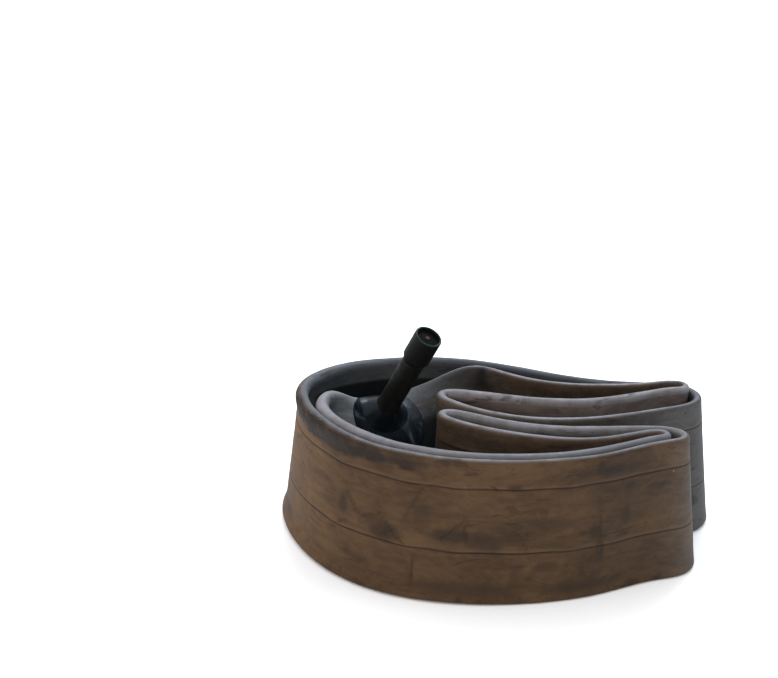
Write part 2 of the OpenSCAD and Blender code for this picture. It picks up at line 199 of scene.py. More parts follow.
def point_attribute(obj, name, values, kind="FLOAT_COLOR"):
    """Stores values at the points of a mesh, for its material to read."""
    att = obj.data.attributes.new(name, kind, "POINT")
    key = "color" if kind == "FLOAT_COLOR" else "vector"
    att.data.foreach_set(key, np.asarray(values, np.float32).ravel())


def ridge(away, width):
    """1 where away is 0, falling off smoothly within about width on both sides."""
    return np.exp(-((away / width) ** 2))


def soft_step(x):
    """0 below 0, 1 above 1, and a smooth rise between."""
    x = np.clip(x, 0, 1)
    return x * x * (3 - 2 * x)


# ---------------------------------------------------------------- the tube's route
CONTROL = np.array(ROUTE, float)


def on_route(s):
    """Control values and horizontal direction of travel at places s along the closed B-spline."""
    n = len(CONTROL)
    i = np.floor(s).astype(int)
    t = (s - i)[:, None]
    a, b, c, d = (CONTROL[(i + k) % n] for k in (-1, 0, 1, 2))
    p = ((1 - t) ** 3 * a + (3 * t**3 - 6 * t**2 + 4) * b
         + (-3 * t**3 + 3 * t**2 + 3 * t + 1) * c + t**3 * d) / 6
    v = (-3 * (1 - t) ** 2 * a + (9 * t**2 - 12 * t) * b + (-9 * t**2 + 6 * t + 3) * c + 3 * t**2 * d)[:, :2]
    return p, v / np.linalg.norm(v, axis=1)[:, None]


def stations(spacing=0.9, bend_length=5.0, fine=40):
    """Places along the route about spacing mm apart, and closer together where it bends.

    Gives the places, the length of the route up to each in mm, and its whole length.
    """
    s = np.linspace(0, len(CONTROL), len(CONTROL) * fine + 1)
    p, v = on_route(s)
    step = np.linalg.norm(np.diff(p[:, :2], axis=0), axis=1)
    turn = np.abs(np.arctan2(v[:-1, 0] * v[1:, 1] - v[:-1, 1] * v[1:, 0], (v[:-1] * v[1:]).sum(1)))
    length = np.concatenate([[0], np.cumsum(step)])
    weight = np.concatenate([[0], np.cumsum(step + bend_length * turn)])
    count = int(weight[-1] / spacing)
    places = np.interp(np.arange(count) * weight[-1] / count, weight, s)
    return places, np.interp(places, s, length), length[-1]


# ---------------------------------------------------------------- the tube's section
LINES_FROM_TOP = (0.175, 0.645)  # moulded lines on the outer face, as shares of the flat width
NEAR_LINE_MM = (0.15, 0.35, 0.6, 0.9, 1.3)  # extra points on both sides of each line


def width_samples():
    """Places across the width, 0 at the bottom edge and 1 at the top, closer at the moulded lines."""
    u = list(np.linspace(0, 1, 41))
    for share in LINES_FROM_TOP:
        u += [1 - share + side * d / FLAT_W_MM for d in NEAR_LINE_MM for side in (-1, 1)] + [1 - share]
    u = np.array(sorted(u))
    return u[np.concatenate([[True], np.diff(u) > 0.003])]


def edge_radius(x):
    """Radius of the rounded edges in mm: as in the CAD model, with more at the left bend."""
    # fuller from x = -40 to the left, and tighter from x = -30 to x = 30
    puffed = LEFT_PUFF_MM * np.clip((-40 - x) / 25, 0, 1)
    return EDGE_R_LOOSE_MM + (EDGE_R_TIGHT_MM - EDGE_R_LOOSE_MM) * np.clip((x + 30) / 60, 0, 1) + puffed


def from_foot(p, dx, dy):
    """Distance in mm from a place beside the stem's foot, and which stations are rolled back."""
    return np.hypot(p[:, 0] - FOOT_MM[0] - dx, p[:, 1] - FOOT_MM[1] - dy), p[:, 3] > 0.5


def valve_bulge(p):
    """How far the valve holds the tube open, from 0 to 1."""
    away, rolled = from_foot(p, -1.5, 9)
    return np.where(rolled, soft_step(1 - away / VALVE_BULGE_MM), 0)


def sag(p):
    """Share of the sag of the back edge beside the valve, on the stretch that is rolled back."""
    away, rolled = from_foot(p, 2, 9)
    return np.where(rolled, soft_step((SAG_REACH_MM[0] - away) / (SAG_REACH_MM[0] - SAG_REACH_MM[1])), 0)


def sections(p):
    """Outlines of all stations, each a closed ring of points.

    Gives points (mm to the right of travel, mm up) and unit normals for each station, and for
    each point of a ring its place across the width, its face (0 outer, 1 inner, between on the
    rounded edges) and its distance round the section in mm.
    """
    steps = 160  # for adding up the curved section from its bottom edge
    u = width_samples()
    r = edge_radius(p[:, 0])
    bulge = valve_bulge(p)
    span = FLAT_W_MM - 2 * r
    fine = np.linspace(0, 1, steps + 1)
    lean = np.radians(p[:, 2:3] + p[:, 3:4] * fine**2)
    mid = (lean[:, 1:] + lean[:, :-1]) / 2
    dx, dz = (np.concatenate([np.zeros((len(p), 1)), np.cumsum(part, 1)], 1) * (span / steps)[:, None]
              for part in (np.sin(mid), np.cos(mid)))
    x = np.array([np.interp(u, fine, row) for row in dx])
    z = np.array([np.interp(u, fine, row) for row in dz])
    a = np.radians(p[:, 2:3] + p[:, 3:4] * u**2)
    from_edge = np.minimum(u, 1 - u)[None, :] * span[:, None]
    # an oval opening, not quite closed at the edges
    open_t = np.sqrt(np.maximum(0, 1 - (2 * u - 1) ** 2 * 0.96))[None, :]
    t = MIDDLE_HALF_T_MM + (VALVE_HALF_T_MM - MIDDLE_HALF_T_MM) * bulge[:, None] * open_t
    t = t + (r[:, None] - MIDDLE_HALF_T_MM) * ridge(from_edge, EDGE_FADE_MM)
    side_n = np.stack([np.cos(a), -np.sin(a)], 2)
    up = np.stack([np.sin(a), np.cos(a)], 2)
    q = np.stack([x, z], 2)
    right = q + side_n * t[:, :, None]
    left = q - side_n * t[:, :, None]
    arc = np.radians(np.linspace(90, -90, 13)[1:-1])  # the ends are points of the two faces

    def edge(at, sign):
        """Half circle that joins the two faces at the top (sign 1) or the bottom (sign -1)."""
        te = t[:, at][:, None, None]
        n = (side_n[:, at][:, None, :] * np.sin(arc)[None, :, None]
             + sign * up[:, at][:, None, :] * np.cos(arc)[None, :, None])
        return q[:, at][:, None, :] + n * te, n

    top, top_n = edge(-1, 1)
    low, low_n = edge(0, -1)
    pts = np.concatenate([right, top, left[:, ::-1], low[:, ::-1]], 1)
    normals = np.concatenate([side_n, top_n, -side_n[:, ::-1], low_n[:, ::-1]], 1)
    across = np.concatenate([u, np.ones(len(arc)), u[::-1], np.zeros(len(arc))])
    face = np.concatenate([np.ones(len(u)), (np.sin(arc) + 1) / 2,
                           np.zeros(len(u)), (np.sin(arc[::-1]) + 1) / 2])
    # distance round the section, for textures that run over the top edge without a seam
    edge_share = 0.1  # length of a rounded edge, as a share of the flat width
    turn = np.linspace(0, edge_share, len(arc))
    around = np.concatenate([u, 1 + turn, 2 + edge_share - u[::-1], 2 + edge_share + turn]) * FLAT_W_MM
    top_at = q[:, -1]
    pts[:, :, 0] -= top_at[:, None, 0]
    pts[:, :, 1] += (p[:, 4] + r)[:, None]
    pts[:, :, 1] *= 1 - VALVE_SAG * sag(p)[:, None]
    return pts, normals, across, face, around


# ---------------------------------------------------------------- relief, wear, and painted light and shade on the rubber
# Places on the outer face are (mm along the route from its start, mm down from the top edge).
# Creases pressed in while the tube was packed: depth in mm, then the points that each runs through
CREASES = [
    (0.16, (112, 18), (106, 26), (103, 24), (99, 22.5), (94, 28.5), (91, 31.5)),
    (0.10, (86, 10), (88, 15), (91, 22)),
    (0.13, (87, 34), (87.5, 42), (87, 48)),
    (0.15, (79, 27.5), (73, 21), (71, 27.5)),
    (0.10, (28.5, 14), (28, 26), (26.5, 39)),
    (0.10, (18, 19), (18, 27)),
    (0.09, (57, 23), (54, 27), (52, 32)),
    (0.08, (29, 1.5), (30, 5.5)),
    (0.09, (147, 28), (150, 40), (158, 46)),
    (0.10, (196, 20), (200, 34)), (0.12, (262, 12), (266, 30)), (0.09, (300, 25), (297, 38)),
    (0.10, (404, 16), (407, 40)), (0.09, (440, 8), (438, 22)), (0.10, (610, 10), (612, 30)),
    (0.09, (884, 14), (888, 34)), (0.12, (351, 10), (353, 42)), (0.10, (997, 12), (998, 40)),
]
# Rubbed and dirty marks: place, half length and half height in mm, strength
SMUDGES = [
    (158, 1.4, 9, 2.0, 1.0), (146, 1.6, 10, 2.8, 1.3), (132, 2.2, 11, 3.2, 1.4),
    (118, 2.4, 10, 2.9, 1.4), (105, 2.0, 9, 2.3, 1.2), (94, 1.4, 9, 1.8, 0.8), (91, 3.4, 3.4, 1.3, 0.9),
    (113, 23, 1.9, 4.2, 0.6), (97, 28.5, 5.0, 3.6, 0.75), (101, 25, 3, 1.6, 0.5),
    (76, 26.5, 6.5, 2.8, 0.75), (66, 27.5, 7, 3.2, 0.6), (58, 26, 4, 3, 0.4), (24, 4.6, 6, 1.9, 0.95),
    (28.5, 3, 1.6, 2.4, 0.7), (16, 5, 4, 1.5, 0.5), (17, 12, 2, 1.7, 0.7), (5, 14, 4.5, 1.2, 0.65),
    (30, 26, 2.4, 2.6, 0.7), (28, 33, 1.2, 6, 0.5), (46, 37.5, 3.6, 1.8, 0.5), (57, 8, 2.2, 1.2, 0.6),
    (44, 22, 8, 2.0, 0.35), (18, 22, 2, 4, 0.4), (85, 20, 3, 5, 0.3), (72, 46, 16, 2.6, 0.5),
    (35, 46, 16, 2.4, 0.45), (150, 44, 10, 2.5, 0.5), (90, 12, 5, 3, 0.25), (205, 15, 12, 6, 0.4),
    (240, 34, 14, 5, 0.4), (290, 18, 12, 4, 0.4), (320, 30, 9, 6, 0.35), (362, 22, 6, 8, 0.4),
    (392, 12, 9, 3, 0.4), (430, 9, 8, 3, 0.4), (640, 8, 12, 3, 0.5), (905, 10, 8, 3, 0.4),
]
# How much talc is left on the inner face, which also sets how bright the painted highlight on the rounded
# edges is: mm along the route, share
INNER_TALC = [
    (0, 0.5), (150, 0.35), (190, 0.05), (315, 0.12), (345, 0.5), (390, 0.9), (470, 1.0), (600, 1.0),
    (660, 0.75), (685, 0.95), (730, 0.7), (760, 0.55), (820, 0.45), (900, 0.8), (1000, 0.7),
]
# Outer face: mm along the route, warmth of the talc, brightness. Both are partly the talc's own tone and
# partly painted light: greyer where cool light falls, brighter where the surface is lit, darker where it is
# shaded.
OUTER_LOOK = [
    (0, 0.85, 0.9), (10, 1, 0.8), (20, 1, 0.8), (60, 1, 0.95), (115, 1, 1.05), (140, 1, 1.5),
    (165, 1, 1.5), (190, 0.9, 1.1), (300, 0.7, 1), (325, 0.15, 1.0), (360, 0.3, 1.0), (440, 0.6, 1),
    (520, 0.7, 0.9), (600, 0.75, 0.75), (617, 0.25, 0.7), (630, 0.05, 0.85), (655, 0.0, 1.3),
    (667, 0.0, 3.0), (680, 0.0, 2.2), (705, 0.2, 1.0), (780, 0.6, 1), (850, 0.75, 0.85),
    (960, 0.8, 0.9), (985, 0.7, 1.0), (1000, 0.6, 1.15), (1008, 0.85, 0.9),
]
# Stretch of the outer face on which the moulded lines can't be seen: mm along from and to
LINES_HIDDEN = (606, 700)
# Painted shade, near black, in the recesses round the valve: on the inner face of the back layer below its
# top, and on the outer face round the valve's stretch. On the outer face or not, mm along from and to, mm
# down, and mm over which it fades out below that
PAINTED_SHADE_ZONES = [(False, 168, 345, 6.9, 0.9), (True, 620, 671, 9.0, 7.0), (True, 677, 735, 1.8, 2.5)]
PEAK_FOLD = 612.0  # mm along the route of the fold at the peak beside the valve, darkened with painted shade


def near_polyline(length, down, points):
    """Distance in mm of each point of the face from a crease, on the face laid flat."""
    best = np.full((len(length), len(down)), 1e3)
    for (a0, b0), (a1, b1) in zip(points, points[1:]):
        da, db = a1 - a0, b1 - b0
        t = np.clip(((length[:, None] - a0) * da + (down[None, :] - b0) * db) / (da * da + db * db), 0, 1)
        best = np.minimum(best, np.hypot(length[:, None] - a0 - t * da, down[None, :] - b0 - t * db))
    return best


def relief(length, total, across, face):
    """Outward displacement in mm, and masks: lines, creases, smudges, lips of the lines, places of painted
    shade.
    """
    rows, cols = len(length), len(across)
    down = (1 - across) * FLAT_W_MM
    outer = np.clip(1 - face * 2, 0, 1)[None, :]
    # the noise runs round a circle as long as the route, so that it has no seam
    angle = length / total * 2 * math.pi
    radius = total / (2 * math.pi)
    circle = [(radius * math.cos(a), radius * math.sin(a)) for a in angle]
    waves, ragged = np.zeros((rows, cols)), np.zeros((rows, cols))
    for i, (cx, cy) in enumerate(circle):
        for k in range(cols):
            at = Vector((cx + 40 * face[k], cy, down[k]))
            waves[i, k] = noise.noise(at / 17) + 0.45 * noise.noise(at / 6.5)
            ragged[i, k] = noise.noise(at / 2.6) + 0.6 * noise.noise(at / 1.1)
    drift = [LINE_DRIFT_MM * noise.noise(Vector((cx, cy, 0)) / 11) for cx, cy in circle]
    drift = np.array(drift)[:, None]
    lines, lips = np.zeros((rows, cols)), np.zeros((rows, cols))
    first, last = LINES_HIDDEN
    shown = 1 - (soft_step((length - first) / 10) * soft_step((last - length) / 10))[:, None]
    for share in LINES_FROM_TOP:
        off = down[None, :] - share * FLAT_W_MM - drift
        lines = np.maximum(lines, ridge(off, LINE_WIDTH_MM) * outer * shown)
        lips = np.maximum(lips, ridge(off + LIP_ABOVE_MM, LIP_WIDTH_MM) * outer)
    crease, folds = np.zeros((rows, cols)), np.zeros((rows, cols))
    for depth, *points in CREASES:
        d = near_polyline(length, down, points) + 0.18 * ragged
        crease = np.maximum(crease, depth * ridge(d, CREASE_WIDTH_MM) * outer)
        folds = np.maximum(folds, depth * FOLD_SHARE * ridge(d - FOLD_AWAY_MM, FOLD_WIDTH_MM) * outer)
    smudge = np.zeros((rows, cols))
    near_outer = np.clip(1 - face * 1.4, 0, 1)[None, :]
    for at, below, half_l, half_h, strength in SMUDGES:
        d = np.hypot((length[:, None] - at) / half_l, (down[None, :] - below) / half_h) + 0.20 * ragged
        smudge = np.maximum(smudge, strength * soft_step((1.35 - d) / 0.8) * near_outer)
    # painted shade, near black, in the recesses round the valve and in the fold at the peak
    bare = np.zeros((rows, cols))
    for on_outer, start, stop, below, fade in PAINTED_SHADE_ZONES:
        along = soft_step((length - start) / 8) * soft_step((stop - length) / 8)
        side = outer if on_outer else 1 - outer
        bare = np.maximum(bare, along[:, None] * soft_step((down - below) / fade)[None, :] * side)
    wide = 2.2 + 0.45 * down[None, :]  # the painted shade in the fold at the peak widens downwards
    bare = np.maximum(bare, 0.75 * ridge(length[:, None] - PEAK_FOLD, wide) * outer)
    push = WAVE_MM * waves - LINE_DEPTH_MM * lines + LIP_HEIGHT_MM * lips - crease + folds
    return push, lines, crease, smudge, lips, bare


# ---------------------------------------------------------------- the tube
def build_tube(material):
    """The whole sleeve as one closed skin, with what its material reads stored at its points."""
    s, length, total = stations()
    p, v = on_route(s)
    pts, normals, across, face, around = sections(p)
    push, lines, crease, smudge, lips, bare = relief(length, total, across, face)
    pts = pts + normals * push[:, :, None]
    pts[:, :, 1] = np.maximum(pts[:, :, 1], 0.0)  # nothing below the table
    world = np.stack([
        p[:, 0:1] + HOME_MM[0] + pts[:, :, 0] * v[:, 1:2],
        p[:, 1:2] + HOME_MM[1] - pts[:, :, 0] * v[:, 0:1],
        pts[:, :, 1]], 2) * MM
    rows, cols = world.shape[:2]
    obj = add_mesh("tube_skin", world.reshape(-1, 3), grid_faces(rows, cols, close_rows=True), material)
    # texture coordinates: the route as a circle, and upwards the distance round the section
    angle = length / total * 2 * math.pi
    radius = total / (2 * math.pi) * MM
    strip = np.stack(np.broadcast_arrays(
        (radius * np.cos(angle))[:, None], (radius * np.sin(angle))[:, None],
        (around * MM)[None, :]), 2)
    point_attribute(obj, "strip", strip, "FLOAT_VECTOR")
    point_attribute(obj, "marks", np.stack(np.broadcast_arrays(
        face[None, :], across[None, :], lines, np.clip(crease * 7, 0, 1)), 2))
    # smudges; the lips of the moulded lines, for a painted highlight; and painted shade
    point_attribute(obj, "wear_and_painted_light", np.stack(np.broadcast_arrays(smudge, lips, bare, 1.0), 2))
    # the talc left inside, and the outer face's warmth and brightness, which are partly painted light
    at, warmth_and_light_tint, tone_and_painted_light = zip(*OUTER_LOOK)
    look = (np.interp(length, *zip(*INNER_TALC)), np.interp(length, at, warmth_and_light_tint),
            np.interp(length, at, tone_and_painted_light) / 2)
    point_attribute(obj, "look", np.stack(np.broadcast_arrays(
        *(row[:, None] for row in look), np.ones((1, len(across)))), 2))
    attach(obj, "tube")
    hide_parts("inner_tube")
    return obj


def tree_of(obj):
    """The faces of an object, for finding where a ray meets them."""
    bpy.context.view_layer.update()
    return bvhtree.BVHTree.FromPolygons([v.co for v in obj.data.vertices],
                                        [list(f.vertices) for f in obj.data.polygons])


# ---------------------------------------------------------------- the valve
def build_patch(tube, material, back=9.0, front=18.0, side=13.5, thick=0.6, rings=28, spokes=96):
    """Moulded patch: it follows the tube, thins out at its rim and swells up round the stem."""
    hit = tree_of(tube)
    verts = []
    for under in (False, True):
        for i in range(rings + 1):
            rho = (i / rings) ** 0.85
            for k in range(spokes):
                a = 2 * math.pi * k / spokes
                # a superellipse that reaches further over the front of the tube than the back
                e = (abs(math.cos(a)) ** 2.8 + abs(math.sin(a)) ** 2.8) ** (-1 / 2.8)
                x = (front if math.cos(a) > 0 else back) * rho * e * math.cos(a)
                y = side * rho * e * math.sin(a)
                # a ray down the stem's axis finds the tube, and past its edge the ring before is used
                found = hit.ray_cast(STEM @ (Vector((x, y, 5)) * MM), -AXIS, 0.02)
                at, normal = (found[0], found[1]) if found[0] else (verts[-spokes], AXIS)
                rise = thick * max(0.0, 1 - rho**2.5) ** 1.2 + 0.04
                swell = PATCH_SWELL_MM * math.exp(-((math.hypot(x, y) / PATCH_SWELL_R_MM) ** 2.4))
                verts.append(at - normal * MM * 0.3 if under else at + (normal * rise + AXIS * swell) * MM)
    low = (rings + 1) * spokes
    layer = grid_faces(rings + 1, spokes)
    faces = [quad[::-1] for quad in layer] + [tuple(low + v for v in quad) for quad in layer]
    rim, rim_low = rings * spokes, low + rings * spokes
    for k in range(spokes):
        n = (k + 1) % spokes
        faces.append((rim + n, rim + k, rim_low + k, rim_low + n))
    obj = add_mesh("patch_skin", verts, faces, material)
    weld(obj)
    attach(obj, "tube")
    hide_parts("valve_patch")
    return obj


def lathe(name, profile, material, around=96, wobble=None):
    """Turns a closed profile of (r, z) in mm round the stem's axis. wobble(r, z, angle) gives a new r."""
    verts = []
    for r, z in profile:
        for k in range(around):
            a = 2 * math.pi * k / around
            rr = wobble(r, z, a) if wobble else r
            verts.append(STEM @ (Vector((rr * math.cos(a), rr * math.sin(a), z)) * MM))
    off_axis = profile[0][0] > 0.01 and profile[-1][0] > 0.01
    obj = add_mesh(name, verts, grid_faces(len(profile), around, close_rows=off_axis), material)
    weld(obj)
    return obj


def corner(profile_from, turn, profile_to, count=5):
    """Points of a rounded corner: a quadratic curve from one point to another, round turn."""
    out = []
    for i in range(count + 1):
        t = i / count
        out.append(tuple((1 - t) ** 2 * a + 2 * t * (1 - t) * b + t * t * c
                         for a, b, c in zip(profile_from, turn, profile_to)))
    return out


def line(a, b, step=0.5):
    """Points from a to b, about step mm apart."""
    n = max(1, int(math.dist(a, b) / step))
    return [tuple(p + (q - p) * i / n for p, q in zip(a, b)) for i in range(n + 1)]


def build_stem(material):
    """Rubber cover: a straight stem with a soft flare at its foot."""
    r, top = STEM_R_MM, JACKET_TOP_MM
    bore, passage = 2.9, 1.55  # radii of the insert's bore, and of the air passage under it
    profile = (corner((4.9, -0.2), (4.35, 1.5), (r, 5.0), 12) + line((r, 5.2), (r, 24.7), 0.8)
               + corner((r, 25.0), (r, top), (r - 0.5, top)) + line((3.7, top), (bore, top))
               + line((bore, 25.0), (bore, 5.0), 2) + [(passage, 5.0), (passage, -1.2), (4.9, -1.2)])

    def wobble(rr, z, a):
        if rr < 3.9 or z > 24.9:
            return rr
        # the two parting lines of the mould, and a slight unevenness
        seam = 0.07 * math.exp(-((math.sin(a - 0.6) / 0.05) ** 2))
        return rr + seam + 0.05 * noise.noise(Vector((3 * math.cos(a), 3 * math.sin(a), z)) / 3.5)

    obj = lathe("stem_skin", profile, material, wobble=wobble)
    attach(obj, "tube")
    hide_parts("stem_rubber")


def thread_height(z, a, pitch):
    """Height share of a 60 degree thread with flats, at a place along and an angle round its axis."""
    f = (z / pitch - a / (2 * math.pi)) % 1
    return min(1, max(0, (0.5 - abs(f - 0.5)) * 2.6 - 0.2))


def build_tip(material):
    """Brass insert: smooth inside the rubber, with a right-hand 8V1 thread on its open tip."""
    crest, root, pitch = 3.85, 3.35, 0.794
    profile = (line((2.85, 4.6), (2.85, 25.3), 2) + line((root, 25.55), (root, 34.6), pitch / 10)
               + corner((root, 34.7), (root, TIP_TOP_MM), (3.0, TIP_TOP_MM))
               + line((2.62, TIP_TOP_MM), (2.62, 30), 1)
               + line((2.05, 27.4), (2.05, 9.5), 2) + [(1.55, 9.3), (1.55, 4.6)])

    def wobble(rr, z, a):
        if abs(rr - root) > 0.01 or z < 25.5:
            return rr
        fade = soft_step((z - 25.8) / 0.7) * soft_step((34.55 - z) / 0.7)
        return rr + (crest - root) * thread_height(z, a, pitch) * float(fade)

    obj = lathe("tip_skin", profile, material, around=72, wobble=wobble)
    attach(obj, "tube")
    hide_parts("stem_insert")


def build_cap(material):
    """Moulded dust cap: chamfered mouth, rounded rim, dished top with the stub of its gate."""
    top, mouth, r = CAP_TOP_MM, CAP_BOTTOM_MM, 5.0
    profile = ([(4.0, mouth)] + line((4.15, mouth), (4.75, mouth + 1.1), 0.3)
               + corner((4.8, mouth + 1.2), (r, mouth + 1.55), (r, mouth + 2.1))
               + line((r, mouth + 2.4), (r, top - 0.6), 0.8)
               + corner((r, top - 0.5), (r, top), (r - 0.5, top), 6)
               + corner((r - 0.55, top), (r - 0.75, top), (r - 0.8, top - 0.3), 5)
               + line((r - 0.85, top - 0.5), (r - 0.95, top - 0.9), 0.2)
               + corner((r - 1.0, top - 1.0), (r - 1.05, top - 1.2), (r - 1.5, top - 1.2), 4)
               + line((3.2, top - 1.2), (1.2, top - 1.15), 0.4)
               + corner((1.0, top - 1.12), (0.8, top - 1.1), (0.75, top - 0.8), 4)
               + [(0.6, top - 0.65), (0.0, top - 0.6)])
    outer = without_repeats(profile)
    inner = without_repeats([(0.0, 36.2), (3.6, 36.2), (3.98, 35.9)]
                            + line((3.98, 35.6), (3.98, 26.9), 0.25) + [(4.0, mouth)])
    obj = lathe("cap_skin", outer + inner, material, around=120)
    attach(obj, "cap")
    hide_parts("cap")


def without_repeats(points):
    """Drops points that repeat the one before, and a last point that repeats the first."""
    out = [points[0]]
    for p in points[1:]:
        if math.dist(p, out[-1]) > 1e-4:
            out.append(p)
    return out[:-1] if math.dist(out[0], out[-1]) < 1e-4 else out


def build_spring(material, bottom=24.95, top=28.95, r=1.05, wire=0.14, turns=5, per_turn=40, around=12):
    """Round-wire spring in the core's barrel, with a mesh of its own."""
    verts = []
    n = turns * per_turn
    for i in range(n + 1):
        a = 2 * math.pi * i / per_turn
        z = bottom + wire + (top - bottom - 2 * wire) * i / n
        for k in range(around):
            b = 2 * math.pi * k / around
            rr = r + wire * math.cos(b)
            verts.append(STEM @ (Vector((rr * math.cos(a), rr * math.sin(a), z + wire * math.sin(b))) * MM))
    faces = grid_faces(n + 1, around)
    faces += [tuple(range(around))[::-1], tuple(range(n * around, (n + 1) * around))]
    obj = add_mesh("spring_skin", verts, faces, material)
    weld(obj)
    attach(obj, "core")
    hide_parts("core_spring")
    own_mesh(obj)


# ---------------------------------------------------------------- materials
class Nodes:
    """A new node material, with short ways to add nodes. Sockets may be given as values or as links."""

    def __init__(self, name):
        self.material = bpy.data.materials.new(name)
        self.material.use_nodes = True
        self.tree = self.material.node_tree
        self.shader = self.tree.nodes["Principled BSDF"]

    def add(self, kind, **values):
        node = self.tree.nodes.new(kind)
        for key, value in values.items():
            setattr(node, key, value)
        return node

    def feed(self, socket, value):
        if isinstance(value, bpy.types.NodeSocket):
            self.tree.links.new(value, socket)
        elif isinstance(value, tuple) and len(value) == 3 and len(socket.default_value) == 4:
            socket.default_value = (*value, 1)
        else:
            socket.default_value = value

    def set(self, **values):
        for key, value in values.items():
            self.feed(self.shader.inputs[key.replace("_", " ")], value)

    def attribute(self, name):
        return self.add("ShaderNodeAttribute", attribute_name=name)

    def split(self, colour):
        node = self.add("ShaderNodeSeparateColor")
        self.feed(node.inputs[0], colour)
        return node.outputs

    def vector_math(self, operation, a, b):
        node = self.add("ShaderNodeVectorMath", operation=operation)
        self.feed(node.inputs[0], a)
        self.feed(node.inputs[1], b)
        return node

    def math(self, operation, a, b=0.0, clamp=False):
        node = self.add("ShaderNodeMath", operation=operation, use_clamp=clamp)
        self.feed(node.inputs[0], a)
        self.feed(node.inputs[1], b)
        return node.outputs[0]

    def scaled(self, vector, factors):
        return self.vector_math("MULTIPLY", vector, factors).outputs[0]

    def times(self, vector, factor):
        node = self.add("ShaderNodeVectorMath", operation="SCALE")
        self.feed(node.inputs[0], vector)
        self.feed(node.inputs["Scale"], factor)
        return node.outputs[0]

    def place(self):
        return self.add("ShaderNodeTexCoord").outputs["Object"]

    def noise(self, vector, scale, detail=4.0, roughness=0.55, distortion=0.0):
        node = self.add("ShaderNodeTexNoise")
        self.feed(node.inputs["Vector"], vector)
        for key, value in (("Scale", scale), ("Detail", detail), ("Roughness", roughness),
                           ("Distortion", distortion)):
            node.inputs[key].default_value = value
        return node.outputs["Fac"]

    def ramp(self, value, low, high, to_low=0.0, to_high=1.0):
        """value from low to high becomes to_low to to_high, with soft ends."""
        node = self.add("ShaderNodeMapRange", interpolation_type="SMOOTHSTEP")
        for key, given in (("Value", value), ("From Min", low), ("From Max", high), ("To Min", to_low),
                           ("To Max", to_high)):
            self.feed(node.inputs[key], given)
        return node.outputs["Result"]

    def mix(self, share, a, b, blend="MIX"):
        node = self.add("ShaderNodeMix", data_type="RGBA", blend_type=blend)
        self.feed(node.inputs["Factor"], share)
        # the colour sockets, since the node has others with the same names
        self.feed(node.inputs[6], a)
        self.feed(node.inputs[7], b)
        return node.outputs[2]

    def bump(self, height, distance, strength=1.0, normal=None):
        node = self.add("ShaderNodeBump")
        self.feed(node.inputs["Height"], height)
        node.inputs["Distance"].default_value = distance
        node.inputs["Strength"].default_value = strength
        if normal is not None:
            self.feed(node.inputs["Normal"], normal)
        return node.outputs["Normal"]


